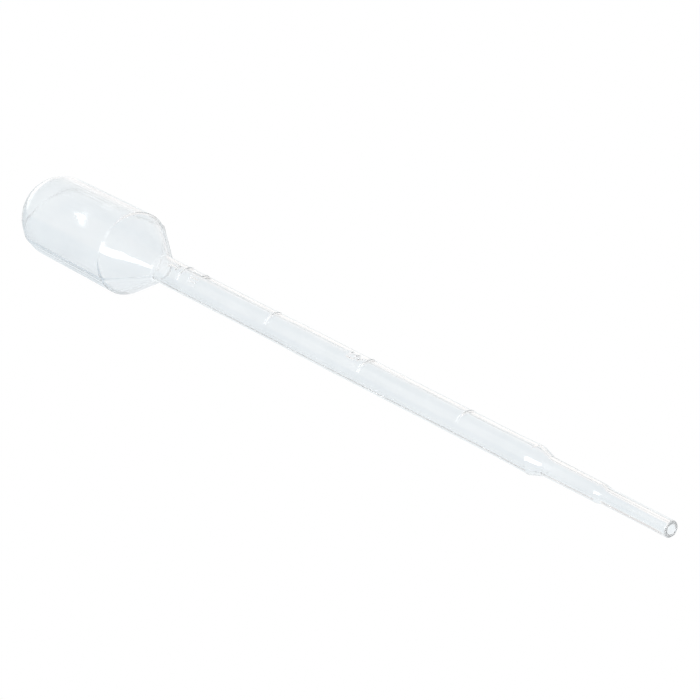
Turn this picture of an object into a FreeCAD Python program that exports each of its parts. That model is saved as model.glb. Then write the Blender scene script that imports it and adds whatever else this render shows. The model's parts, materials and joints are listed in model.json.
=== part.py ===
import FreeCAD, Part
import Sketcher
import math
import os

# A blow-moulded polyethylene transfer pipette, made in one piece: a squeeze bulb with a domed end,
# a cone, a graduated stem, a shoulder, a neck, a small step and a dropper tip, all hollow.
# It lies on its side, as such a pipette comes to rest, with its axis along X and the tip towards +X.
# The mould's parting line runs along both sides, and the scale stands on the half between them. Turns
# about the axis are measured from the middle of that half, towards the near side.
# Millimetres. Stations are distances along the axis from the crown of the dome.

document = FreeCAD.newDocument("TransferPipette")

# ---------------------------------------------------------------- driving dimensions
DIMENSIONS = [
    # the outside of the bulb
    ("bulb_radius", 6.85, "side of the bulb where the dome ends"),
    ("knuckle_offset", 0.45, "axis to the centre of the curve that joins the dome's cap to the side"),
    ("cap_excess", 1.2, "how much larger the cap's radius is than that curve's"),
    ("shoulder_radius", 7.0, "side of the bulb where the cone starts"),
    ("shoulder_station", 25.9, "crown of the dome to the start of the cone"),
    ("shoulder_round", 0.6, "rounding where the side turns into the cone"),
    ("cone_length", 8.0, "start of the cone to the stem"),
    ("root_round", 0.7, "hollow rounding where the cone meets the stem"),
    # the outside of the stem, neck and tip
    ("upper_stem_radius", 2.25, "stem beside the bulb"),
    ("swell_offset", 3.3, "second graduation to the slight swelling of the stem"),
    ("swell_length", 2.2, "length over which the stem swells"),
    ("lower_stem_radius", 2.305, "stem just past the swelling"),
    ("waist_radius", 2.22, "stem just before it flares"),
    ("flare_length", 5.2, "length of the flare before the shoulder of the stem"),
    ("flare_radius", 2.335, "widest place of the flare"),
    ("collar_round", 0.8, "rounding of the stem's shoulder, both sides"),
    ("taper_length", 2.6, "stem's shoulder, from the flare to the neck"),
    ("neck_radius", 1.565, "neck beside the stem's shoulder"),
    ("neck_end_radius", 1.51, "neck beside the step"),
    ("neck_length", 10.8, "neck"),
    ("step_length", 1.2, "step from the neck down to the tip"),
    ("tip_radius", 1.29, "outside of the dropper tip"),
    ("tip_length", 13.0, "dropper tip"),
    ("lip_round", 0.25, "rounding at the rim of the mouth"),
    # the hollow inside
    ("bulb_wall", 0.42, "wall at the side of the bulb"),
    ("dome_wall", 0.9, "wall at the crown, where the mould pinches the tube shut"),
    ("inner_knuckle_offset", 1.83, "the same offset inside the dome, where the cap is flatter"),
    ("inner_cap_excess", 3.9, "the same excess inside the dome"),
    ("stem_wall", 0.4, "wall of the stem, which leaves the bore that sets the pitch of the scale"),
    ("neck_wall", 0.4, "wall of the neck"),
    ("mouth_radius", 0.75, "bore of the dropper tip"),
    # the scale: raised arcs a quarter of a millilitre apart
    ("scale_gap", 6.6, "cone to the first graduation"),
    ("mark_pitch", 22.4, "one graduation to the next"),
    ("mark_count", 4, "graduations"),
    ("scale_end_gap", 14.7, "last graduation to the stem's shoulder"),
    ("mark_width", 0.35, "width of a raised arc"),
    ("mark_sweep", 98, "degrees of the stem that an arc covers"),
    ("mark_turn", -8, "degrees to the middle of an arc"),
    ("relief", 0.12, "height of the arcs and figures above the stem"),
    # the figures beside the scale
    ("stroke", 0.3, "width of a stroke of a figure"),
    ("figure_height", 2.75, "height of the numerals"),
    ("one_width", 1.15, "width of the numeral one"),
    ("flag_drop", 0.55, "how far the flag of the numeral one comes down"),
    ("one_gap", 1.3, "first graduation to the foot of the numeral one"),
    ("one_turn", -6.5, "degrees to the numeral one"),
    ("unit_drop", 4.3, "first graduation to the feet of the unit"),
    ("litre_height", 2.4, "height of the capital letter of the unit"),
    ("litre_width", 1.3, "width of the capital letter of the unit"),
    ("litre_turn", -36.5, "degrees to the capital letter"),
    ("milli_height", 1.9, "height of the small letter of the unit"),
    ("milli_width", 1.55, "width of the small letter of the unit"),
    ("milli_turn", 17.5, "degrees to the small letter"),
    ("half_gap", 1.15, "third graduation to the foot of the decimal fraction"),
    ("five_width", 1.4, "width of the numeral five"),
    ("bowl_gap", 90, "degrees that the bowl of the numeral five leaves open"),
    ("five_turn", -13.5, "degrees to the numeral five"),
    ("point_width", 0.42, "side of the decimal point"),
    ("point_turn", 22.5, "degrees to the decimal point"),
    # the parting line of the mould, and how the pipette lies
    ("seam_height", 0.12, "height of the seam above the surface"),
    ("seam_width", 0.6, "width of the seam"),
    ("roll", 27.5, "degrees from the top to the middle of the graduated half, as it lies"),
]

sizes = document.addObject("Spreadsheet::Sheet", "Sizes")
for row, (alias, number, meaning) in enumerate(DIMENSIONS, start=1):
    sizes.set(f"A{row}", alias)
    sizes.set(f"B{row}", str(number))
    sizes.setAlias(f"B{row}", alias)
    sizes.set(f"C{row}", meaning)
document.recompute()


def value(expression):
    """The number that an expression on the sheet gives now."""
    return float(sizes.evalExpression(expression))


# ---------------------------------------------------------------- stations along the axis
SHOULDER = "Sizes.shoulder_station"
STEM_START = f"({SHOULDER} + Sizes.cone_length)"
FIRST_MARK = f"({STEM_START} + Sizes.scale_gap)"
THIRD_MARK = f"({FIRST_MARK} + 2 * Sizes.mark_pitch)"
SWELL_START = f"({FIRST_MARK} + Sizes.mark_pitch + Sizes.swell_offset)"
SWELL_END = f"({SWELL_START} + Sizes.swell_length)"
SCALE_LENGTH = "(Sizes.mark_count - 1) * Sizes.mark_pitch"
STEM_END = f"({FIRST_MARK} + {SCALE_LENGTH} + Sizes.scale_end_gap)"
FLARE_START = f"({STEM_END} - Sizes.flare_length)"
NECK_START = f"({STEM_END} + Sizes.taper_length)"
NECK_END = f"({NECK_START} + Sizes.neck_length)"
TIP_START = f"({NECK_END} + Sizes.step_length)"
MOUTH = f"({TIP_START} + Sizes.tip_length)"

# the dome's two curves, outside and inside
KNUCKLE = "(Sizes.bulb_radius - Sizes.knuckle_offset)"
CROWN = f"({KNUCKLE} + Sizes.cap_excess)"
INNER_SIDE = "(Sizes.bulb_radius - Sizes.bulb_wall)"
INNER_KNUCKLE = f"({INNER_SIDE} - Sizes.inner_knuckle_offset)"
INNER_CROWN = f"({INNER_KNUCKLE} + Sizes.inner_cap_excess)"

# the stem's own outline, past the cone and up to the waist, as (station, radius)
STEM_LINE = [
    (STEM_START, "Sizes.upper_stem_radius"),
    (SWELL_START, "Sizes.upper_stem_radius"),
    (SWELL_END, "Sizes.lower_stem_radius"),
    (FLARE_START, "Sizes.waist_radius"),
]
# the whole outline from the bulb's shoulder to the start of the tip
OUTLINE = [
    (SHOULDER, "Sizes.shoulder_radius"),
    *STEM_LINE,
    (STEM_END, "Sizes.flare_radius"),
    (NECK_START, "Sizes.neck_radius"),
    (NECK_END, "Sizes.neck_end_radius"),
    (TIP_START, "Sizes.tip_radius"),
]
HORIZONTAL_AXIS = -1
START, END, CENTRE = 1, 2, 3

pipette = document.addObject("PartDesign::Body", "pipette")
pipette.Label = "pipette"
origin = {feature.Role: feature for feature in pipette.Origin.OriginFeatures}


# ---------------------------------------------------------------- sketch helpers
def add_sketch(name, plane):
    """An empty sketch on one of the body's own planes."""
    sketch = pipette.newObject("Sketcher::SketchObject", name)
    sketch.AttachmentSupport = [(origin[plane], "")]
    sketch.MapMode = "FlatFace"
    return sketch


def bind(sketch, kind, curve, end, expression):
    """Fixes one coordinate of a point of a curve, measured from the sketch's origin."""
    constraint = Sketcher.Constraint(kind, -1, 1, curve, end, value(expression))
    index = sketch.addConstraint(constraint)
    sketch.setExpression(f"Constraints[{index}]", expression)


def bind_point(sketch, curve, end, across, up):
    """Fixes a point of a curve at two expressions of the sheet."""
    bind(sketch, "DistanceX", curve, end, across)
    bind(sketch, "DistanceY", curve, end, up)


def bind_radius(sketch, arc, expression):
    """Fixes the radius of an arc at an expression of the sheet."""
    index = sketch.addConstraint(Sketcher.Constraint("Radius", arc, value(expression)))
    sketch.setExpression(f"Constraints[{index}]", expression)


def add_line(sketch, first, last):
    """A straight line between two points given as pairs of expressions; returns its number."""
    start = FreeCAD.Vector(value(first[0]), value(first[1]), 0)
    end = FreeCAD.Vector(value(last[0]), value(last[1]), 0)
    return sketch.addGeometry(Part.LineSegment(start, end))


def add_polygon(sketch, corners):
    """A closed outline of straight lines, with every corner bound to the sheet."""
    following = corners[1:] + corners[:1]
    lines = [add_line(sketch, first, last) for first, last in zip(corners, following)]
    for line, after in zip(lines, lines[1:] + lines[:1]):
        sketch.addConstraint(Sketcher.Constraint("Coincident", line, END, after, START))
    for line, (across, up) in zip(lines, corners):
        bind_point(sketch, line, START, across, up)


def add_arc(sketch, centre, radius, first_angle, last_angle):
    """A circular arc, anticlockwise between two angles in radians; returns its number."""
    circle = Part.Circle(FreeCAD.Vector(*centre, 0), FreeCAD.Vector(0, 0, 1), radius)
    return sketch.addGeometry(Part.ArcOfCircle(circle, first_angle, last_angle))


def add_domed_outline(sketch, crown_start, crown_radius, knuckle_radius, side_radius, corners):
    """Half an outline of a turned shape, closed along the axis. It starts on the axis at crown_start
    with a cap, goes on with a smaller arc that is tangent to the cap and reaches its top at side_radius,
    and then follows the corners, the last of which drops straight to the axis."""
    crown_centre = f"{crown_start} + {crown_radius}"
    cap = value(crown_radius)
    knuckle = value(knuckle_radius)
    rise = value(side_radius) - knuckle
    middle = value(crown_centre)
    reach = math.sqrt((cap - knuckle) ** 2 - rise**2)
    joint_angle = math.atan2(rise, -reach)
    crown_arc = add_arc(sketch, (middle, 0), cap, joint_angle, math.pi)
    knuckle_arc = add_arc(sketch, (middle - reach, rise), knuckle, math.pi / 2, joint_angle)
    top = (f"{middle - reach}", side_radius)
    path = [top, *corners, (corners[-1][0], "0"), (crown_start, "0")]
    lines = [add_line(sketch, first, last) for first, last in zip(path, path[1:])]
    joints = [(knuckle_arc, START, lines[0], START)]
    joints += [(line, END, after, START) for line, after in zip(lines, lines[1:])]
    joints += [(lines[-1], END, crown_arc, END)]
    for joint in joints:
        sketch.addConstraint(Sketcher.Constraint("Coincident", *joint))
    sketch.addConstraint(Sketcher.Constraint("Tangent", crown_arc, START, knuckle_arc, END))
    sketch.addConstraint(Sketcher.Constraint("PointOnObject", crown_arc, CENTRE, HORIZONTAL_AXIS))
    sketch.addConstraint(Sketcher.Constraint("PointOnObject", crown_arc, END, HORIZONTAL_AXIS))
    sketch.addConstraint(Sketcher.Constraint("Vertical", knuckle_arc, CENTRE, knuckle_arc, START))
    bind(sketch, "DistanceX", crown_arc, CENTRE, crown_centre)
    bind(sketch, "DistanceY", knuckle_arc, START, side_radius)
    bind_radius(sketch, crown_arc, crown_radius)
    bind_radius(sketch, knuckle_arc, knuckle_radius)
    for line, (station, radius) in zip(lines, corners):
        bind_point(sketch, line, END, station, radius)
    sketch.addConstraint(Sketcher.Constraint("PointOnObject", lines[-2], END, HORIZONTAL_AXIS))
    sketch.addConstraint(Sketcher.Constraint("Vertical", lines[-2]))


# ---------------------------------------------------------------- the turned outside
def add_skin():
    """The outside of the whole pipette as one turned solid."""
    outline = add_sketch("skin_outline", "XY_Plane")
    corners = [*OUTLINE, (MOUTH, "Sizes.tip_radius")]
    add_domed_outline(outline, "0", CROWN, KNUCKLE, "Sizes.bulb_radius", corners)
    skin = pipette.newObject("PartDesign::Revolution", "skin")
    skin.Profile = outline
    skin.ReferenceAxis = (outline, ["H_Axis"])
    skin.Angle = 360
    document.recompute()
    return skin


def rim_names(shape, rims):
    """The names of the round edges at the given (station, radius) pairs."""
    names = []
    for number, edge in enumerate(shape.Edges, start=1):
        if edge.Degenerated or not isinstance(edge.Curve, Part.Circle):
            continue
        for station, radius in rims:
            same_place = abs(edge.Curve.Center.x - value(station)) < 1e-4
            if same_place and abs(edge.Curve.Radius - value(radius)) < 1e-4:
                names.append(f"Edge{number}")
    return names


def add_rounding(base, name, size, rims):
    """Rounds the turned solid's edges at the given places by one size of the sheet."""
    rounding = pipette.newObject("PartDesign::Fillet", name)
    rounding.Base = (base, rim_names(base.Shape, rims))
    rounding.setExpression("Radius", f"Sizes.{size}")
    document.recompute()
    return rounding


# ---------------------------------------------------------------- the scale
def turn_sketch(sketch, station, turn):
    """Turns a sketch about the axis to a turn given on the sheet, and moves its origin to a station."""
    start = FreeCAD.Vector(value(station), 0, 0)
    rotation = FreeCAD.Rotation(FreeCAD.Vector(1, 0, 0), 1)
    sketch.AttachmentOffset = FreeCAD.Placement(start, rotation)
    sketch.setExpression(".AttachmentOffset.Base.x", station)
    sketch.setExpression(".AttachmentOffset.Rotation.Angle", turn)


def add_marks():
    """Raised arcs on the stem, one for each graduation, cut to height by trim_relief."""
    section = add_sketch("mark_section", "XZ_Plane")
    turn_sketch(section, "0", "Sizes.mark_turn")
    near = f"{FIRST_MARK} - Sizes.mark_width / 2"
    far = f"{FIRST_MARK} + Sizes.mark_width / 2"
    root = "Sizes.waist_radius - Sizes.stem_wall"
    crest = "Sizes.flare_radius + Sizes.relief"
    add_polygon(section, [(near, root), (far, root), (far, crest), (near, crest)])
    mark = pipette.newObject("PartDesign::Revolution", "first_mark")
    mark.Profile = section
    mark.ReferenceAxis = (section, ["H_Axis"])
    mark.Midplane = True
    mark.setExpression("Angle", "Sizes.mark_sweep")
    document.recompute()
    marks = pipette.newObject("PartDesign::LinearPattern", "marks")
    marks.Originals = [mark]
    marks.Direction = (origin["X_Axis"], [""])
    marks.setExpression("Length", SCALE_LENGTH)
    marks.setExpression("Occurrences", "Sizes.mark_count")
    pipette.Tip = marks
    document.recompute()


def add_figure_sketch(name, foot, turn):
    """A sketch that faces out from the axis at the figure's turn, with its origin at the figure's foot."""
    sketch = add_sketch(f"{name}_strokes", "XY_Plane")
    turn_sketch(sketch, foot, turn)
    return sketch


def raise_figure(name, sketch):
    """Stands a figure's strokes out through the wall; trim_relief cuts them to height."""
    figure = pipette.newObject("PartDesign::Pad", name)
    figure.Profile = sketch
    figure.setExpression("Length", "Sizes.flare_radius + Sizes.relief")
    document.recompute()


def add_figure(name, foot, turn, outline):
    """A raised figure of straight strokes, its outline as (across, up) pairs. Up is towards the bulb."""
    sketch = add_figure_sketch(name, foot, turn)
    add_polygon(sketch, [(f"-({up})", across) for across, up in outline])
    raise_figure(name, sketch)


def add_one():
    """The numeral one, with a flag and a foot."""
    side = "Sizes.one_width / 2"
    edge = "Sizes.stroke / 2"
    top = "Sizes.figure_height"
    outline = [
        (f"-{side}", "0"),
        (side, "0"),
        (side, "Sizes.stroke"),
        (edge, "Sizes.stroke"),
        (edge, top),
        (f"-{edge}", top),
        (f"-{side}", f"{top} - Sizes.flag_drop"),
        (f"-{side}", f"{top} - Sizes.flag_drop - Sizes.stroke"),
        (f"-{edge}", f"{top} - Sizes.stroke"),
        (f"-{edge}", "Sizes.stroke"),
        (f"-{side}", "Sizes.stroke"),
    ]
    add_figure("one", f"{FIRST_MARK} - Sizes.one_gap", "Sizes.one_turn", outline)


def add_unit():
    """The letters of the unit, millilitres, on the tip's side of the first graduation."""
    foot = f"{FIRST_MARK} + Sizes.unit_drop"
    side = "Sizes.milli_width / 2"
    edge = "Sizes.stroke / 2"
    top = "Sizes.milli_height"
    milli = [
        (f"-{side}", "0"),
        (f"-{side} + Sizes.stroke", "0"),
        (f"-{side} + Sizes.stroke", f"{top} - Sizes.stroke"),
        (f"-{edge}", f"{top} - Sizes.stroke"),
        (f"-{edge}", "0"),
        (edge, "0"),
        (edge, f"{top} - Sizes.stroke"),
        (f"{side} - Sizes.stroke", f"{top} - Sizes.stroke"),
        (f"{side} - Sizes.stroke", "0"),
        (side, "0"),
        (side, top),
        (f"-{side}", top),
    ]
    add_figure("milli", foot, "Sizes.milli_turn", milli)
    side = "Sizes.litre_width / 2"
    top = "Sizes.litre_height"
    litre = [
        (f"-{side}", "0"),
        (side, "0"),
        (side, "Sizes.stroke"),
        (f"-{side} + Sizes.stroke", "Sizes.stroke"),
        (f"-{side} + Sizes.stroke", top),
        (f"-{side}", top),
    ]
    add_figure("litre", foot, "Sizes.litre_turn", litre)


def add_bowl(foot):
    """The bowl of the numeral five: a band between two arcs about one centre, open at its left."""
    sketch = add_figure_sketch("five_bowl", foot, "Sizes.five_turn")
    open_half = math.radians(value("Sizes.bowl_gap") / 2)
    first_angle = open_half - math.pi / 2
    last_angle = 3 * math.pi / 2 - open_half
    centre = (value("-Sizes.five_width / 2"), 0)
    arcs = []
    for radius in ("Sizes.five_width / 2", "(Sizes.five_width / 2 - Sizes.stroke)"):
        arc = add_arc(sketch, centre, value(radius), first_angle, last_angle)
        bind_radius(sketch, arc, radius)
        bind_point(sketch, arc, CENTRE, "-Sizes.five_width / 2", "0")
        for end in (START, END):
            bind(sketch, "DistanceY", arc, end, f"-{radius} * cos(Sizes.bowl_gap / 2)")
        arcs.append(arc)
    outer, inner = arcs
    middle = FreeCAD.Vector(*centre, 0)
    for end, angle in ((START, first_angle), (END, last_angle)):
        direction = FreeCAD.Vector(math.cos(angle), math.sin(angle), 0)
        outside = middle + direction * value("Sizes.five_width / 2")
        inside = middle + direction * value("Sizes.five_width / 2 - Sizes.stroke")
        edge = sketch.addGeometry(Part.LineSegment(outside, inside))
        sketch.addConstraint(Sketcher.Constraint("Coincident", edge, START, outer, end))
        sketch.addConstraint(Sketcher.Constraint("Coincident", edge, END, inner, end))
    raise_figure("five_bowl", sketch)


def add_half():
    """The decimal fraction one half: a point, and a numeral five with a round bowl."""
    foot = f"{THIRD_MARK} - Sizes.half_gap"
    side = "Sizes.point_width / 2"
    top = "Sizes.point_width"
    point = [(f"-{side}", "0"), (side, "0"), (side, top), (f"-{side}", top)]
    add_figure("point", foot, "Sizes.point_turn", point)
    side = "Sizes.five_width / 2"
    top = "Sizes.figure_height"
    flag_foot = "Sizes.five_width - Sizes.stroke"
    flag = [
        (f"-{side}", flag_foot),
        (f"-{side} + Sizes.stroke", flag_foot),
        (f"-{side} + Sizes.stroke", f"{top} - Sizes.stroke"),
        (side, f"{top} - Sizes.stroke"),
        (side, top),
        (f"-{side}", top),
    ]
    add_figure("five_flag", foot, "Sizes.five_turn", flag)
    add_bowl(foot)


def trim_relief():
    """Turns the arcs and figures down to their height above the stem."""
    section = add_sketch("relief_section", "XY_Plane")
    floor = [(station, f"{radius} + Sizes.relief") for station, radius in STEM_LINE]
    crest = "Sizes.shoulder_radius"
    add_polygon(section, [*floor, (FLARE_START, crest), (STEM_START, crest)])
    trim = pipette.newObject("PartDesign::Groove", "relief_height")
    trim.Profile = section
    trim.ReferenceAxis = (section, ["H_Axis"])
    trim.Angle = 360
    document.recompute()


# ---------------------------------------------------------------- the mould's parting line
def add_seam():
    """A low flat ridge along both sides, from the dome to the rim of the mouth."""
    outline = add_sketch("seam_outline", "XY_Plane")
    corners = [(station, f"{radius} + Sizes.seam_height") for station, radius in OUTLINE]
    corners.append((f"{MOUTH} - Sizes.lip_round", "Sizes.tip_radius + Sizes.seam_height"))
    add_domed_outline(
        outline,
        "-Sizes.seam_height",
        f"({CROWN} + Sizes.seam_height)",
        f"({KNUCKLE} + Sizes.seam_height)",
        "Sizes.bulb_radius + Sizes.seam_height",
        corners,
    )
    seam = pipette.newObject("PartDesign::Pad", "near_seam")
    seam.Profile = outline
    seam.SideType = "Symmetric"
    seam.setExpression("Length", "Sizes.seam_width")
    document.recompute()
    seams = pipette.newObject("PartDesign::Mirrored", "seams")
    seams.Originals = [seam]
    seams.MirrorPlane = (origin["XZ_Plane"], [""])
    pipette.Tip = seams
    document.recompute()


# ---------------------------------------------------------------- the hollow
def cut_lumen():
    """The hollow that runs from the dome to the mouth, turned out of the solid."""
    outline = add_sketch("lumen_outline", "XY_Plane")
    corners = [
        (SHOULDER, "Sizes.shoulder_radius - Sizes.bulb_wall"),
        *[(station, f"{radius} - Sizes.stem_wall") for station, radius in STEM_LINE],
        (STEM_END, "Sizes.flare_radius - Sizes.stem_wall"),
        (NECK_START, "Sizes.neck_radius - Sizes.neck_wall"),
        (NECK_END, "Sizes.neck_end_radius - Sizes.neck_wall"),
        (TIP_START, "Sizes.mouth_radius"),
        (f"{MOUTH} + Sizes.tip_radius", "Sizes.mouth_radius"),
    ]
    add_domed_outline(outline, "Sizes.dome_wall", INNER_CROWN, INNER_KNUCKLE, INNER_SIDE, corners)
    before = pipette.Shape.Volume
    lumen = pipette.newObject("PartDesign::Groove", "lumen")
    lumen.Profile = outline
    lumen.ReferenceAxis = (outline, ["H_Axis"])
    lumen.Angle = 360
    document.recompute()
    if pipette.Shape.Volume > 0.5 * before:
        raise RuntimeError("the hollow was not cut")


# ---------------------------------------------------------------- how it lies
def rounding_centre(corner, before, after, radius):
    """Centre of the arc of the given radius that rounds a corner of the outline, on the axis side."""
    first = math.atan2(corner[1] - before[1], corner[0] - before[0])
    second = math.atan2(after[1] - corner[1], after[0] - corner[0])
    outward = (first + second) / 2 + math.pi / 2
    depth = radius / math.cos((first - second) / 2)
    return corner[0] - depth * math.cos(outward), corner[1] - depth * math.sin(outward)


def lay_down():
    """Rests the pipette on the bulb's shoulder and the rim of the mouth, its base centred on the origin."""
    side = value("Sizes.bulb_radius")
    offset = value("Sizes.knuckle_offset")
    crown = value(CROWN)
    knuckle_station = crown - math.sqrt(value("Sizes.cap_excess") ** 2 - offset**2)
    shoulder = (value(SHOULDER), value("Sizes.shoulder_radius"))
    stem = (value(STEM_START), value("Sizes.upper_stem_radius"))
    heel_radius = value("Sizes.shoulder_round")
    heel = rounding_centre(shoulder, (knuckle_station, side), stem, heel_radius)
    toe_radius = value("Sizes.lip_round")
    toe = (value(MOUTH) - toe_radius, value("Sizes.tip_radius") - toe_radius)
    span = math.hypot(toe[0] - heel[0], toe[1] - heel[1])
    slope = math.atan2(heel[1] - toe[1], toe[0] - heel[0])
    tilt = slope + math.asin((heel_radius - toe_radius) / span)
    lift = heel[0] * math.sin(tilt) + heel[1] * math.cos(tilt) + heel_radius
    # the rearmost point is on the seam's ridge over the crown, and the foremost on the rim
    roll = math.radians(value("Sizes.roll"))
    half_seam = value("Sizes.seam_width") / 2
    in_seam_plane = math.hypot(math.cos(tilt), math.sin(tilt) * math.sin(roll))
    rear_reach = (crown + value("Sizes.seam_height")) * in_seam_plane
    rear_reach += half_seam * math.sin(tilt) * math.cos(roll)
    back = crown * math.cos(tilt) - rear_reach
    front = toe[0] * math.cos(tilt) + toe[1] * math.sin(tilt) + toe_radius
    dip = FreeCAD.Rotation(FreeCAD.Vector(0, 1, 0), math.degrees(tilt))
    turn = FreeCAD.Rotation(FreeCAD.Vector(1, 0, 0), math.degrees(roll))
    pipette.Placement = FreeCAD.Placement(FreeCAD.Vector(-(back + front) / 2, 0, lift), dip * turn)
    document.recompute()


# ---------------------------------------------------------------- build, check and write
skin = add_skin()
rounded = add_rounding(skin, "shoulder_rounding", "shoulder_round", [(SHOULDER, "Sizes.shoulder_radius")])
rounded = add_rounding(rounded, "root_rounding", "root_round", [(STEM_START, "Sizes.upper_stem_radius")])
collar = [(STEM_END, "Sizes.flare_radius"), (NECK_START, "Sizes.neck_radius")]
rounded = add_rounding(rounded, "collar_rounding", "collar_round", collar)
add_rounding(rounded, "lip_rounding", "lip_round", [(MOUTH, "Sizes.tip_radius")])
add_marks()
add_one()
add_unit()
add_half()
trim_relief()
add_seam()
cut_lumen()
lay_down()

for item in document.Objects:
    if "Invalid" in item.State or "Error" in item.State:
        raise RuntimeError(f"{item.Name} failed: {item.State}")
os.makedirs("parts", exist_ok=True)
for part in (pipette,):
    shape = part.Shape
    if shape.isNull() or not shape.isValid() or len(shape.Solids) != 1:
        raise RuntimeError(f"{part.Label} is not one valid solid")
    shape.exportStep(f"parts/{part.Label}.step")
    solid = shape.Solids[0]
    box = solid.optimalBoundingBox(False)
    print(part.Label, "volume", round(solid.Volume, 2), "mm3, balance point", solid.CenterOfMass)
    print("lowest corner", box.XMin, box.YMin, box.ZMin)
    print("highest corner", box.XMax, box.YMax, box.ZMax)
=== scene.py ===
import json
import bpy
import numpy as np
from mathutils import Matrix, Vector


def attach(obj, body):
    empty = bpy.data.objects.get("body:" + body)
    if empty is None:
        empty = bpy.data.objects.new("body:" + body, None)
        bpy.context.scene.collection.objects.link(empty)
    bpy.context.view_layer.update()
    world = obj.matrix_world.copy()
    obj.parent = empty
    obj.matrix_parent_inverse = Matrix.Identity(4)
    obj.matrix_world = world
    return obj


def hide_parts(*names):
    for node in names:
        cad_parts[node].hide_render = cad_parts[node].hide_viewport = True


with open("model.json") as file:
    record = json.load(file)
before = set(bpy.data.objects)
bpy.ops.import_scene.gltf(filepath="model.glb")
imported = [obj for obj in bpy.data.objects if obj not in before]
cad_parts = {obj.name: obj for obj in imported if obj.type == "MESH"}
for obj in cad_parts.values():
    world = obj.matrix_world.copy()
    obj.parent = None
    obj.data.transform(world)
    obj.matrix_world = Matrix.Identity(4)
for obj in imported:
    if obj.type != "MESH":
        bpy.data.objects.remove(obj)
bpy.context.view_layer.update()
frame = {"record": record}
print("frame loaded")

mm = 0.001  # every size below is in millimetres, and is made metres as it goes into a mesh

# The pipette's own line: stations run along it from the crown of the dome to the mouth
mounts = {mount["name"]: mount for mount in frame["record"]["mounts"]}
tipPlace = np.array(mounts["tip_outside"]["pos_m"]) / mm  # halfway along the dropper tip
along = np.array(mounts["tip_outside"]["axis"])
along = along / np.linalg.norm(along)
lyingTurn = np.radians(27.5)  # from the top to the middle of the graduated half, towards the near side
level = np.array([0.0, 1.0, 0.0])  # across the pipette, towards the far side
steep = np.cross(along, level)
upward = np.cos(lyingTurn) * steep - np.sin(lyingTurn) * level  # out of the graduated half
across = np.cos(lyingTurn) * level + np.sin(lyingTurn) * steep  # towards the far parting line

bulbSizes = dict(
    sideRadius=6.85,  # where the dome ends
    knuckleOffset=0.45,  # axis to the centre of the curve between the dome's cap and the side
    capExcess=1.2,  # the cap's radius less that curve's
    shoulderRadius=7.0,
    shoulderStation=25.9,
    shoulderRound=0.6,
    coneLength=8.0,
    innerShoulderRound=1.3,
    rootRound=0.7,
    wall=0.42,
    domeWall=0.9,  # where the mould pinches the tube shut
    innerKnuckleOffset=1.83,
    innerCapExcess=3.9,
)

stemSizes = dict(
    upperRadius=2.25,
    swellOffset=3.3,  # second graduation to the swelling
    swellLength=2.2,
    swellRound=4.0,
    lowerRadius=2.305,
    waistRadius=2.22,
    flareLength=5.2,
    flareRadius=2.335,
    collarRound=0.8,
    wall=0.4,
    scaleGap=6.6,  # cone to the first graduation
    markPitch=22.4,
    markCount=4,
    endGap=14.7,  # last graduation to the stem's shoulder
)

tipSizes = dict(
    taperLength=2.6,
    neckRadius=1.565,
    neckEndRadius=1.51,
    neckLength=10.8,
    neckWall=0.4,
    stepLength=1.2,
    stepRound=0.5,
    radius=mounts["tip_outside"]["dims"]["r_mm"],
    length=13.0,
    boreRadius=mounts["tip_bore"]["dims"]["r_mm"],
    lipRound=0.25,
    rimRound=0.08,  # inner edge of the mouth
)

stemStart = bulbSizes["shoulderStation"] + bulbSizes["coneLength"]
firstMark = stemStart + stemSizes["scaleGap"]
markStations = firstMark + stemSizes["markPitch"] * np.arange(stemSizes["markCount"])
stemEnd = markStations[-1] + stemSizes["endGap"]
neckStart = stemEnd + tipSizes["taperLength"]
neckEnd = neckStart + tipSizes["neckLength"]
tipStart = neckEnd + tipSizes["stepLength"]
mouth = tipStart + tipSizes["length"]
crown = tipPlace - along * (mouth - tipSizes["length"] / 2)


# How closely the surface is divided
gridSizes = dict(
    arcPoints=60,  # places along each arc of the dome
    cornerPoints=24,  # and along each rounded corner
    longestRow=1.5,  # spacing of rows along straight walls
    domeRow=0.4,
    domeReach=7.0,  # stations below this one belong to the dome
    turnPerRow=0.11,  # radians of bend between two rows
    fineRow=0.075,  # rows across the arcs and figures
    fineMargin=0.15,  # how far they go past a figure
    markMargin=0.4,  # and past the middle of an arc
    walkStep=0.01,  # step of the running total along a line
    bendWindow=21,  # steps over which the bend is averaged
    widestColumn=np.radians(3.6),
    figureColumn=np.radians(1.3),
    figureTurns=(np.radians(-56), np.radians(38)),  # the part of a turn that the figures take up
    turnSteps=7200,  # steps of the running total round the axis
    seamColumn=np.radians(0.45),
    seamSpread=0.1,  # how quickly the columns widen beside the seam
)


def domeArcs(crownStation, knuckleRadius, capExcess, sideRadius):
    # Two circular arcs, as (station, radius). The cap's centre lies on the axis. The knuckle's lies
    # sideRadius - knuckleRadius off it and capExcess from the cap's centre, so the arcs are tangent.
    capRadius = knuckleRadius + capExcess
    capCentre = crownStation + capRadius
    rise = sideRadius - knuckleRadius
    reach = np.sqrt(capExcess**2 - rise**2)
    joint = np.arctan2(rise, -reach)
    cap = np.linspace(np.pi, joint, gridSizes["arcPoints"])
    knuckle = np.linspace(joint, np.pi / 2, gridSizes["arcPoints"])[1:]
    capArc = np.column_stack([capCentre + capRadius * np.cos(cap), capRadius * np.sin(cap)])
    knuckleCentre = capCentre - reach
    knuckleStation = knuckleCentre + knuckleRadius * np.cos(knuckle)
    knuckleArc = np.column_stack([knuckleStation, rise + knuckleRadius * np.sin(knuckle)])
    capArc[0, 1] = 0.0
    return np.vstack([capArc, knuckleArc])


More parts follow.
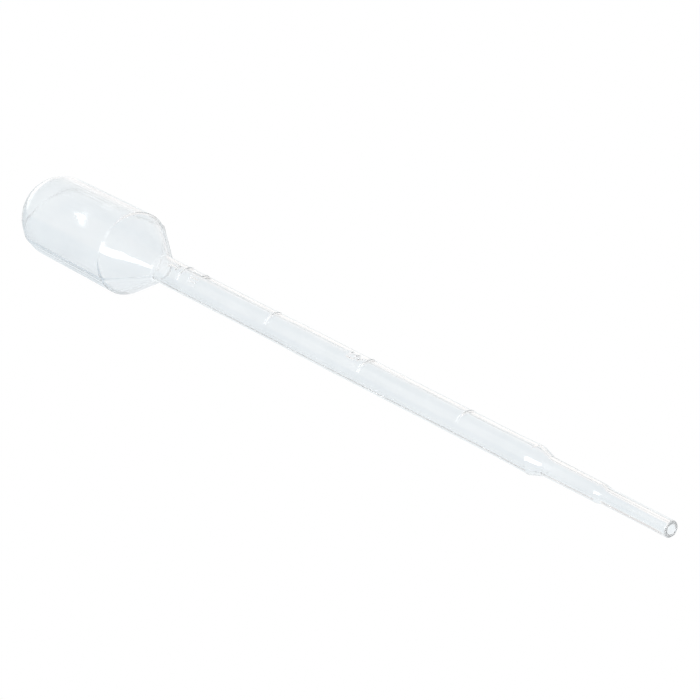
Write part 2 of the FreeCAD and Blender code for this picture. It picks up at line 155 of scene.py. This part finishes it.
def roundedCorners(start, corners, end):
    # A line of straight legs whose corners are arcs. An arc of radius r at a corner that turns by a
    # begins r x tan(a / 2) before the corner, and its points come from turning the first leg's normal.
    places = [np.array(start)] + [np.array(corner[:2]) for corner in corners] + [np.array(end)]
    radii = [corner[2] for corner in corners]
    points = [places[0]]
    for before, corner, after, radius in zip(places, places[1:], places[2:], radii):
        first = (corner - before) / np.linalg.norm(corner - before)
        second = (after - corner) / np.linalg.norm(after - corner)
        turn = np.arctan2(first[0] * second[1] - first[1] * second[0], first @ second)
        if radius == 0 or abs(turn) < 1e-6:
            points.append(corner)
            continue
        begin = corner - first * radius * np.tan(abs(turn) / 2)
        side = np.sign(turn) * np.array([-first[1], first[0]])
        centre = begin + side * radius
        for part in np.linspace(0, 1, gridSizes["cornerPoints"]):
            angle = turn * part
            spoke = -side * np.cos(angle) * radius + first * np.sin(abs(angle)) * radius
            points.append(centre + spoke)
    points.append(places[-1])
    return np.array(points)


def outerOutline():
    # The skin from the crown of the dome to the middle of the mouth's rim, as (station, radius).
    bulb, stem, tip = bulbSizes, stemSizes, tipSizes
    knuckle = bulb["sideRadius"] - bulb["knuckleOffset"]
    dome = domeArcs(0.0, knuckle, bulb["capExcess"], bulb["sideRadius"])
    swell = markStations[1] + stem["swellOffset"]
    corners = [
        (bulb["shoulderStation"], bulb["shoulderRadius"], bulb["shoulderRound"]),
        (stemStart, stem["upperRadius"], bulb["rootRound"]),
        (swell, stem["upperRadius"], stem["swellRound"]),
        (swell + stem["swellLength"], stem["lowerRadius"], stem["swellRound"]),
        (stemEnd - stem["flareLength"], stem["waistRadius"], stem["swellRound"]),
        (stemEnd, stem["flareRadius"], stem["collarRound"]),
        (neckStart, tip["neckRadius"], stem["collarRound"]),
        (neckEnd, tip["neckEndRadius"], tip["stepRound"]),
        (tipStart, tip["radius"], tip["stepRound"]),
        (mouth, tip["radius"], tip["lipRound"]),
    ]
    rest = roundedCorners(dome[-1], corners, (mouth, (tip["radius"] + tip["boreRadius"]) / 2))
    return np.vstack([dome, rest[1:]])


def innerOutline():
    # The hollow, from the middle of the rim back to the inside of the dome, as (station, radius).
    bulb, stem, tip = bulbSizes, stemSizes, tipSizes
    swell = markStations[1] + stem["swellOffset"]
    side = bulb["sideRadius"] - bulb["wall"]
    knuckle = side - bulb["innerKnuckleOffset"]
    dome = domeArcs(bulb["domeWall"], knuckle, bulb["innerCapExcess"], side)[::-1]
    corners = [
        (mouth, tip["boreRadius"], tip["rimRound"]),
        (tipStart, tip["boreRadius"], tip["stepRound"]),
        (neckEnd, tip["neckEndRadius"] - tip["neckWall"], tip["stepRound"]),
        (neckStart, tip["neckRadius"] - tip["neckWall"], stem["collarRound"]),
        (stemEnd, stem["flareRadius"] - stem["wall"], stem["collarRound"]),
        (stemEnd - stem["flareLength"], stem["waistRadius"] - stem["wall"], stem["swellRound"]),
        (swell + stem["swellLength"], stem["lowerRadius"] - stem["wall"], stem["swellRound"]),
        (swell, stem["upperRadius"] - stem["wall"], stem["swellRound"]),
        (stemStart, stem["upperRadius"] - stem["wall"], bulb["rootRound"]),
        (bulb["shoulderStation"], bulb["shoulderRadius"] - bulb["wall"], bulb["innerShoulderRound"]),
    ]
    rest = roundedCorners((mouth, (tip["radius"] + tip["boreRadius"]) / 2), corners, dome[0])
    return np.vstack([rest, dome[1:]])


def equalSteps(places, density):
    # Places at equal steps, one or less, of the running total of density x distance, ends included.
    total = np.concatenate([[0.0], np.cumsum((density[1:] + density[:-1]) / 2 * np.diff(places))])
    count = int(np.ceil(total[-1]))
    return np.interp(np.linspace(0.0, total[-1], count + 1), total, places)


def walkOutline(outline, longestRow, busy):
    # Rows along a line. Their density is one over the longest row, or the bend of the line over the
    # turn allowed in a row, or one over the fine row near the busy stations.
    sizes = gridSizes
    steps = np.linalg.norm(np.diff(outline, axis=0), axis=1)
    reach = np.concatenate([[0.0], np.cumsum(steps)])
    fine = np.linspace(0.0, reach[-1], int(reach[-1] / sizes["walkStep"]))
    station = np.interp(fine, reach, outline[:, 0])
    radius = np.interp(fine, reach, outline[:, 1])
    heading = np.unwrap(np.arctan2(np.gradient(radius, fine), np.gradient(station, fine)))
    window = np.ones(sizes["bendWindow"]) / sizes["bendWindow"]
    bend = np.convolve(np.abs(np.gradient(heading, fine)), window, mode="same")
    density = np.maximum(1.0 / longestRow, bend / sizes["turnPerRow"])
    density = np.maximum(density, np.where(station < sizes["domeReach"], 1.0 / sizes["domeRow"], 0.0))
    for low, high in busy:
        density = np.where((station > low) & (station < high), 1.0 / sizes["fineRow"], density)
    chosen = equalSteps(fine, density)
    return np.column_stack([np.interp(chosen, fine, station), np.interp(chosen, fine, radius)])


def ringAngles():
    # Turns about the axis, from the middle of the graduated half towards the near side. Their density
    # is one over the widest column, or over the figures' column, or over the column beside a seam,
    # which widens with the distance from it.
    fine = np.linspace(-np.pi, np.pi, gridSizes["turnSteps"] + 1)
    density = np.full_like(fine, 1.0 / gridSizes["widestColumn"])
    low, high = gridSizes["figureTurns"]
    figures = (fine > low) & (fine < high)
    density = np.where(figures, 1.0 / gridSizes["figureColumn"], density)
    for seam in (-np.pi / 2, np.pi / 2):
        width = gridSizes["seamColumn"] + gridSizes["seamSpread"] * np.abs(fine - seam)
        density = np.maximum(density, 1.0 / width)
    return equalSteps(fine, density)[:-1]


# What stands out of the skin: the arcs of the scale, the figures beside them and the parting line
reliefSizes = dict(
    height=0.12,
    edge=0.3,  # width over which a raised edge falls away
    markEndFade=0.3,
    markWidth=0.35,
    markSweep=np.radians(98),
    markTurn=np.radians(-8),
    stroke=0.3,
    figureHeight=2.75,
    oneWidth=1.15,
    oneGap=1.3,
    oneTurn=np.radians(-6.5),
    flagDrop=0.7,
    unitDrop=4.3,
    litreHeight=2.4,
    litreWidth=1.3,
    litreTurn=np.radians(-36.5),
    milliHeight=1.9,
    milliWidth=1.55,
    milliTurn=np.radians(17.5),
    halfGap=1.15,
    fiveWidth=1.4,
    fiveTurn=np.radians(-13.5),
    pointWidth=0.42,
    pointTurn=np.radians(22.5),
    bowlTurns=np.radians(np.linspace(-135, 135, 13)),  # places along the bowl of the five
    seamHeight=0.12,
    seamWidth=0.6,
    seamEdge=0.45,
)


def plateau(distance, halfWidth, edge):
    # One inside halfWidth and nought outside it. Over the edge's width it falls as 3 part^2 - 2 part^3.
    part = np.clip((halfWidth + edge / 2 - distance) / edge, 0.0, 1.0)
    return part * part * (3 - 2 * part)


def strokeDistance(x, y, strokes):
    # Shortest distance from each place to a set of straight strokes, each given by its two ends. The
    # nearest point lies at part = (place - first end) . stroke / stroke^2, kept between nought and one.
    nearest = np.full(x.shape, np.inf)
    for (x0, y0), (x1, y1) in strokes:
        lengthSquared = (x1 - x0) ** 2 + (y1 - y0) ** 2
        part = np.clip(((x - x0) * (x1 - x0) + (y - y0) * (y1 - y0)) / max(lengthSquared, 1e-9), 0, 1)
        nearest = np.minimum(nearest, np.hypot(x - x0 - part * (x1 - x0), y - y0 - part * (y1 - y0)))
    return nearest


def chain(*points):
    # Strokes from each point to the next.
    return list(zip(points, points[1:]))


def figureStrokes():
    # Each figure as (foot's station, turn about the axis, strokes), with strokes in (across, up).
    relief = reliefSizes
    half = relief["stroke"] / 2
    one = relief["oneWidth"] / 2 - half
    top = relief["figureHeight"] - half
    oneShape = chain((-one, top - relief["flagDrop"]), (0, top), (0, half))
    oneShape += chain((-one, half), (one, half))
    milli = relief["milliWidth"] / 2 - half
    milliTop = relief["milliHeight"] - half
    milliShape = chain((-milli, half), (-milli, milliTop), (milli, milliTop), (milli, half))
    milliShape += chain((0, milliTop), (0, half))
    litre = relief["litreWidth"] / 2 - half
    litreShape = chain((-litre, relief["litreHeight"] - half), (-litre, half), (litre, half))
    five = relief["fiveWidth"] / 2 - half
    bowlTop = relief["fiveWidth"] - half
    bowlMiddle = relief["fiveWidth"] / 2
    bowl = [(five * np.cos(turn), bowlMiddle + five * np.sin(turn)) for turn in relief["bowlTurns"]]
    fiveShape = chain((five, top), (-five, top), (-five, bowlTop)) + chain(*bowl)
    dot = relief["pointWidth"] / 2 - half
    dotTop = half + 2 * dot
    pointShape = chain((-dot, half), (dot, half), (dot, dotTop), (-dot, dotTop), (-dot, half))
    return [
        (firstMark - relief["oneGap"], relief["oneTurn"], oneShape),
        (firstMark + relief["unitDrop"], relief["milliTurn"], milliShape),
        (firstMark + relief["unitDrop"], relief["litreTurn"], litreShape),
        (markStations[2] - relief["halfGap"], relief["fiveTurn"], fiveShape),
        (markStations[2] - relief["halfGap"], relief["pointTurn"], pointShape),
    ]


def reliefHeight(station, radius, angle):
    # Height above the plain skin, in millimetres: the highest of the arcs, the figures and the seams.
    relief = reliefSizes
    height = np.zeros_like(station)
    for mark in markStations:
        width = plateau(np.abs(station - mark), relief["markWidth"] / 2, relief["edge"])
        around = np.abs(angle - relief["markTurn"]) * radius
        sweep = plateau(around, relief["markSweep"] / 2 * radius, relief["markEndFade"])
        height = np.maximum(height, relief["height"] * width * sweep)
    for foot, turn, strokes in figureStrokes():
        near = np.abs(station - foot) < 2 * relief["figureHeight"]
        distance = strokeDistance((turn - angle) * radius, foot - station, strokes)
        figure = relief["height"] * plateau(distance, relief["stroke"] / 2, relief["edge"])
        height = np.maximum(height, np.where(near, figure, 0))
    sideways = np.abs(radius * np.cos(angle))
    seam = plateau(sideways, relief["seamWidth"] / 2, relief["seamEdge"])
    fade = np.clip((mouth - tipSizes["lipRound"] - station) / relief["edge"], 0.0, 1.0)
    return np.maximum(height, relief["seamHeight"] * seam * fade)


def outlineNormals(outline):
    # Unit normals of a (station, radius) line, to the left of its direction: away from the axis.
    slope = np.gradient(outline, axis=0)
    slope /= np.linalg.norm(slope, axis=1, keepdims=True)
    return np.column_stack([-slope[:, 1], slope[:, 0]])


def placeOnAxis(station, radius, angle):
    # crown + station x along + radius x (cos(angle) x upward - sin(angle) x across), in metres.
    ring = np.cos(angle)[..., None] * upward - np.sin(angle)[..., None] * across
    return (crown + station[..., None] * along + radius[..., None] * ring) * mm


def gridMesh(name, rows, poleStart, poleEnd):
    # A closed skin: rows of points round the axis, joined by quads, and a fan of triangles at each pole.
    rowCount, columnCount = rows.shape[:2]
    index = np.arange(rowCount * columnCount).reshape(rowCount, columnCount)
    following = np.roll(index, -1, axis=1)
    quads = np.stack([index[:-1], following[:-1], following[1:], index[1:]], axis=-1).reshape(-1, 4)
    first = rowCount * columnCount
    firstFan = np.stack([np.full(columnCount, first), following[0], index[0]], axis=-1)
    lastFan = np.stack([np.full(columnCount, first + 1), index[-1], following[-1]], axis=-1)
    points = np.vstack([rows.reshape(-1, 3), poleStart, poleEnd])
    mesh = bpy.data.meshes.new(name)
    mesh.from_pydata(points, [], quads.tolist() + firstFan.tolist() + lastFan.tolist())
    mesh.polygons.foreach_set("use_smooth", np.ones(len(mesh.polygons), dtype=bool))
    mesh.update()
    piece = bpy.data.objects.new(name, mesh)
    bpy.context.scene.collection.objects.link(piece)
    return piece


def makePipette():
    # The skin and the hollow are one surface: out along the skin, round the rim and back inside. Each
    # place on the skin = its place on the outline + relief height x the outline's normal.
    relief = reliefSizes
    margin = gridSizes["markMargin"]
    busy = [(mark - margin, mark + margin) for mark in markStations]
    margin = gridSizes["fineMargin"]
    feet = [
        (firstMark - relief["oneGap"], relief["figureHeight"]),
        (firstMark + relief["unitDrop"], relief["litreHeight"]),
        (markStations[2] - relief["halfGap"], relief["figureHeight"]),
    ]
    busy += [(foot - tall - margin, foot + margin) for foot, tall in feet]
    outer = walkOutline(outerOutline(), gridSizes["longestRow"], busy)
    inner = walkOutline(innerOutline(), 2 * gridSizes["longestRow"], [])
    angles = ringAngles()
    outerStation, angle = np.meshgrid(outer[1:-1, 0], angles, indexing="ij")
    outerRadius = np.repeat(outer[1:-1, 1][:, None], len(angles), axis=1)
    height = reliefHeight(outerStation, outerRadius, angle)
    normals = outlineNormals(outer)[1:-1]
    outerStation = outerStation + height * normals[:, :1]
    outerRadius = outerRadius + height * normals[:, 1:]
    innerStation, innerAngle = np.meshgrid(inner[:-1, 0], angles, indexing="ij")
    innerRadius = np.repeat(inner[:-1, 1][:, None], len(angles), axis=1)
    rows = np.concatenate([
        placeOnAxis(outerStation, outerRadius, angle),
        placeOnAxis(innerStation, innerRadius, innerAngle),
    ])
    outerPole = crown - relief["seamHeight"] * along  # the parting line runs over the crown
    innerPole = crown + bulbSizes["domeWall"] * along
    piece = gridMesh("pipetteSkin", rows, outerPole * mm, innerPole * mm)
    print("pipette rows", len(rows), "columns", len(angles), "faces", len(piece.data.polygons))
    return piece


polyethyleneLook = dict(
    clearTint=(0.979, 0.985, 0.988, 1.0),
    hazyTint=(0.942, 0.954, 0.962, 1.0),
    smooth=0.07,  # roughness where the skin is clearest
    hazy=0.11,
    hazeSize=5.0,  # millimetres across a patch of haze
    hazeDetail=3.0,  # finer and finer clouds laid over the first
    lineWidth=0.4,  # drawing lines run lengthwise along the moulding
    lineLength=14.0,
    lineDetail=1.0,
    lineDepth=0.015,
    lineShare=0.5,  # part of the haze that lies in the lines
    cloudEdges=(0.3, 0.7),  # parts of a cloud between which clear turns to hazy
    ior=1.51,
)


def divideNode(tree, vector, sizes):
    # A vector divided by a size along each axis.
    divide = tree.nodes.new("ShaderNodeVectorMath")
    divide.operation = "DIVIDE"
    tree.links.new(vector, divide.inputs[0])
    tree.links.new(sizes, divide.inputs[1])
    return divide.outputs["Vector"]


def cloudNode(tree, vector, detail):
    # Soft random cloud from nought to one, about one unit across.
    cloud = tree.nodes.new("ShaderNodeTexNoise")
    cloud.inputs["Scale"].default_value = 1.0
    cloud.inputs["Detail"].default_value = detail
    tree.links.new(vector, cloud.inputs["Vector"])
    return cloud.outputs["Fac"]


def fadeNode(tree, value, edges):
    # Nought at the first edge and one at the second, smoothly between.
    fade = tree.nodes.new("ShaderNodeMapRange")
    fade.interpolation_type = "SMOOTHSTEP"
    fade.inputs["From Min"].default_value, fade.inputs["From Max"].default_value = edges
    tree.links.new(value, fade.inputs["Value"])
    return fade.outputs["Result"]


def mixNode(tree, factor, first, second, kind="RGBA"):
    # first x (1 - factor) + second x factor, for colours or plain values; each may be a socket.
    mix = tree.nodes.new("ShaderNodeMix")
    mix.data_type = kind
    shown = {"RGBA": "RGBA", "FLOAT": "VALUE"}[kind]
    for name, given in (("A", first), ("B", second)):
        socket = [item for item in mix.inputs if item.name == name and item.type == shown][0]
        if isinstance(given, (tuple, float)):
            socket.default_value = given
        else:
            tree.links.new(given, socket)
    tree.links.new(factor, [item for item in mix.inputs if item.name == "Factor"][0])
    return [item for item in mix.outputs if item.type == shown][0]


def mouldedSkinGroup():
    # Haze = fade(cloud(place / haze size)) in patches, mixed by the line share with fine lengthwise
    # lines = fade(cloud(place turned to the pipette's axis / line sizes)), which also stand proud.
    group = bpy.data.node_groups.new("mouldedSkin", "ShaderNodeTree")
    sockets = [
        ("Place", "NodeSocketVector"),
        ("Haze Size", "NodeSocketVector"),
        ("Line Sizes", "NodeSocketVector"),
        ("Line Share", "NodeSocketFloat"),
        ("Clear Tint", "NodeSocketColor"),
        ("Hazy Tint", "NodeSocketColor"),
        ("Smooth", "NodeSocketFloat"),
        ("Hazy", "NodeSocketFloat"),
    ]
    for name, kind in sockets:
        group.interface.new_socket(name=name, in_out="INPUT", socket_type=kind)
    outcomes = {"Tint": "NodeSocketColor", "Roughness": "NodeSocketFloat", "Height": "NodeSocketFloat"}
    for name, kind in outcomes.items():
        group.interface.new_socket(name=name, in_out="OUTPUT", socket_type=kind)
    given = group.nodes.new("NodeGroupInput").outputs
    result = group.nodes.new("NodeGroupOutput").inputs
    turn = group.nodes.new("ShaderNodeVectorRotate")
    turn.rotation_type = "Y_AXIS"
    turn.inputs["Angle"].default_value = -np.arctan2(-along[2], along[0])
    group.links.new(given["Place"], turn.inputs["Vector"])
    look = polyethyleneLook
    patchPlace = divideNode(group, given["Place"], given["Haze Size"])
    patches = cloudNode(group, patchPlace, look["hazeDetail"])
    linePlace = divideNode(group, turn.outputs["Vector"], given["Line Sizes"])
    lines = cloudNode(group, linePlace, look["lineDetail"])
    patchHaze = fadeNode(group, patches, look["cloudEdges"])
    lineHaze = fadeNode(group, lines, look["cloudEdges"])
    haze = mixNode(group, given["Line Share"], patchHaze, lineHaze, "FLOAT")
    group.links.new(mixNode(group, haze, given["Clear Tint"], given["Hazy Tint"]), result["Tint"])
    group.links.new(mixNode(group, haze, given["Smooth"], given["Hazy"], "FLOAT"), result["Roughness"])
    group.links.new(lines, result["Height"])
    return group


def polyethylene():
    # Clear natural polyethylene, faintly milky: light goes through it, bent and slightly spread, and
    # takes its tint.
    look = polyethyleneLook
    material = bpy.data.materials.new("polyethylene")
    material.use_nodes = True
    tree = material.node_tree
    skin = tree.nodes.new("ShaderNodeGroup")
    skin.node_tree = mouldedSkinGroup()
    place = tree.nodes.new("ShaderNodeTexCoord").outputs["Object"]
    tree.links.new(place, skin.inputs["Place"])
    skin.inputs["Haze Size"].default_value = (look["hazeSize"] * mm,) * 3
    lineSizes = (look["lineLength"] * mm, look["lineWidth"] * mm, look["lineWidth"] * mm)
    skin.inputs["Line Sizes"].default_value = lineSizes
    skin.inputs["Line Share"].default_value = look["lineShare"]
    skin.inputs["Clear Tint"].default_value = look["clearTint"]
    skin.inputs["Hazy Tint"].default_value = look["hazyTint"]
    skin.inputs["Smooth"].default_value = look["smooth"]
    skin.inputs["Hazy"].default_value = look["hazy"]
    bump = tree.nodes.new("ShaderNodeBump")
    bump.inputs["Distance"].default_value = look["lineDepth"] * mm
    tree.links.new(skin.outputs["Height"], bump.inputs["Height"])
    shader = tree.nodes["Principled BSDF"]
    tree.links.new(skin.outputs["Tint"], shader.inputs["Base Color"])
    tree.links.new(skin.outputs["Roughness"], shader.inputs["Roughness"])
    tree.links.new(bump.outputs["Normal"], shader.inputs["Normal"])
    shader.inputs["IOR"].default_value = look["ior"]
    shader.inputs["Metallic"].default_value = 0.0
    shader.inputs["Transmission Weight"].default_value = 1.0
    return material


piece = makePipette()
piece.data.materials.append(polyethylene())
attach(piece, "root")
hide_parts("pipette")
print("pipette made")

# Colours are the light that each thing gives, as parts of a full white
studio = dict(
    floorSize=6.0,  # metres
    floorDrop=0.0001,  # metres below the object's base
    floorColour=(1.0, 1.0, 1.0, 1.0),  # as it is seen
    farColour=(0.92, 0.955, 0.975, 1.0),  # what the floor behind and under the object gives to it
    nearColour=(0.64, 0.72, 0.78, 1.0),  # and what the floor in front of it gives
    nearStart=0.0,  # y at which the floor begins to dim, in metres
    nearEnd=-0.008,
    roomColour=(0.96, 0.945, 0.93, 1.0),
    ceilingColour=(0.80, 0.76, 0.75, 1.0),
    ceilingEdge=(0.62, 0.80),  # sines of the elevations between which the room becomes the ceiling
    backdropColour=(1.13, 1.09, 1.07, 1.0),
    backdropAzimuth=np.radians(132),
    backdropEdge=(0.87, 0.95),  # cosines between which its sides fade
    backdropTop=(0.70, 0.58),  # sines of the elevations between which its top fades
    sideColour=(1.7, 1.7, 1.7, 1.0),
    sideAzimuth=np.radians(180),
    sideEdge=(0.84, 0.95),
    sideTop=(0.50, 0.34),
)

# Direction and size in degrees as seen from the object, distance in metres, and brightness
softboxes = dict(
    left=dict(azimuth=-103, elevation=14, wide=26, high=28, distance=4.0, radiance=6.5),
    front=dict(azimuth=-77, elevation=9, wide=10, high=18, distance=2.5, radiance=7.0),
)


def makeFloor():
    # A flat square sheet that glows evenly white to the eye and dims on the near side for the object.
    half = studio["floorSize"] / 2
    corners = np.array([(-half, -half, 0), (half, -half, 0), (half, half, 0), (-half, half, 0)])
    mesh = bpy.data.meshes.new("floor")
    mesh.from_pydata(corners, [], [(0, 1, 2, 3)])
    floor = bpy.data.objects.new("floor", mesh)
    bpy.context.scene.collection.objects.link(floor)
    material = bpy.data.materials.new("paleFloor")
    material.use_nodes = True
    tree = material.node_tree
    tree.nodes.clear()
    place = tree.nodes.new("ShaderNodeSeparateXYZ")
    tree.links.new(tree.nodes.new("ShaderNodeTexCoord").outputs["Object"], place.inputs["Vector"])
    near = fadeNode(tree, place.outputs["Y"], (studio["nearStart"], studio["nearEnd"]))
    given = mixNode(tree, near, studio["farColour"], studio["nearColour"])
    seen = tree.nodes.new("ShaderNodeLightPath").outputs["Is Camera Ray"]
    glow = tree.nodes.new("ShaderNodeEmission")
    tree.links.new(mixNode(tree, seen, given, studio["floorColour"]), glow.inputs["Color"])
    output = tree.nodes.new("ShaderNodeOutputMaterial")
    tree.links.new(glow.outputs["Emission"], output.inputs["Surface"])
    material.cycles.emission_sampling = "NONE"
    mesh.materials.append(material)
    floor.location.z = -studio["floorDrop"]


def towards(tree, direction, azimuth):
    # Cosine of the angle between the direction looked in and a level azimuth.
    dot = tree.nodes.new("ShaderNodeVectorMath")
    dot.operation = "DOT_PRODUCT"
    dot.inputs[1].default_value = (np.cos(azimuth), np.sin(azimuth), 0.0)
    tree.links.new(direction, dot.inputs[0])
    return dot.outputs["Value"]


def timesNode(tree, first, second):
    # first x second, for plain values.
    product = tree.nodes.new("ShaderNodeMath")
    product.operation = "MULTIPLY"
    tree.links.new(first, product.inputs[0])
    tree.links.new(second, product.inputs[1])
    return product.outputs["Value"]


def makeWorld():
    # A pale room with a dimmer ceiling, a paler backdrop behind the object and a bright card at its
    # side. A card counts where its fade across x its fade upwards says.
    world = bpy.data.worlds.new("studio")
    world.use_nodes = True
    tree = world.node_tree
    direction = tree.nodes.new("ShaderNodeTexCoord").outputs["Generated"]
    height = tree.nodes.new("ShaderNodeSeparateXYZ")
    tree.links.new(direction, height.inputs["Vector"])
    above = fadeNode(tree, height.outputs["Z"], studio["ceilingEdge"])
    colour = mixNode(tree, above, studio["roomColour"], studio["ceilingColour"])
    for card in ("backdrop", "side"):
        facing = towards(tree, direction, studio[card + "Azimuth"])
        wide = fadeNode(tree, facing, studio[card + "Edge"])
        high = fadeNode(tree, height.outputs["Z"], studio[card + "Top"])
        colour = mixNode(tree, timesNode(tree, wide, high), colour, studio[card + "Colour"])
    tree.links.new(colour, tree.nodes["Background"].inputs["Color"])
    bpy.context.scene.world = world


def addSoftbox(name, box):
    # A rectangular light that faces the object. Each side = 2 x distance x tan(half the angle it takes
    # up), and its power = brightness x pi x area.
    azimuth, elevation = np.radians(box["azimuth"]), np.radians(box["elevation"])
    flat = np.cos(elevation)
    outward = np.array([flat * np.cos(azimuth), flat * np.sin(azimuth), np.sin(elevation)])
    light = bpy.data.lights.new(name, "AREA")
    light.shape = "RECTANGLE"
    light.size = 2 * box["distance"] * np.tan(np.radians(box["wide"]) / 2)
    light.size_y = 2 * box["distance"] * np.tan(np.radians(box["high"]) / 2)
    light.energy = box["radiance"] * np.pi * light.size * light.size_y
    lamp = bpy.data.objects.new(name, light)
    bpy.context.scene.collection.objects.link(lamp)
    lamp.location = Vector(outward * box["distance"])
    lamp.rotation_euler = Vector(-outward).to_track_quat("-Z", "Y").to_euler()


viewSizes = dict(
    place=(387.4, -313.1, 198.0),  # millimetres
    target=(2.4, 3.0, 5.0),
    lens=182.05,
    sensor=36,
    bounces=96,
)


def makeCamera():
    # A camera at its place that looks along target - place, held level.
    data = bpy.data.cameras.new("camera")
    data.lens = viewSizes["lens"]
    data.sensor_width = viewSizes["sensor"]
    camera = bpy.data.objects.new("camera", data)
    bpy.context.scene.collection.objects.link(camera)
    camera.location = Vector(viewSizes["place"]) * mm
    aim = Vector(viewSizes["target"]) * mm - camera.location
    camera.rotation_euler = aim.to_track_quat("-Z", "Y").to_euler()
    bpy.context.scene.camera = camera


def allowLongPaths():
    # Light crosses both walls and runs along inside them, so its paths need many turns.
    paths = bpy.context.scene.cycles
    paths.max_bounces = viewSizes["bounces"]
    paths.transmission_bounces = viewSizes["bounces"]
    paths.glossy_bounces = viewSizes["bounces"]


allowLongPaths()
makeFloor()
makeWorld()
for name, box in softboxes.items():
    addSoftbox(name, box)
makeCamera()
bpy.context.scene.view_settings.view_transform = "Standard"
print("studio made")
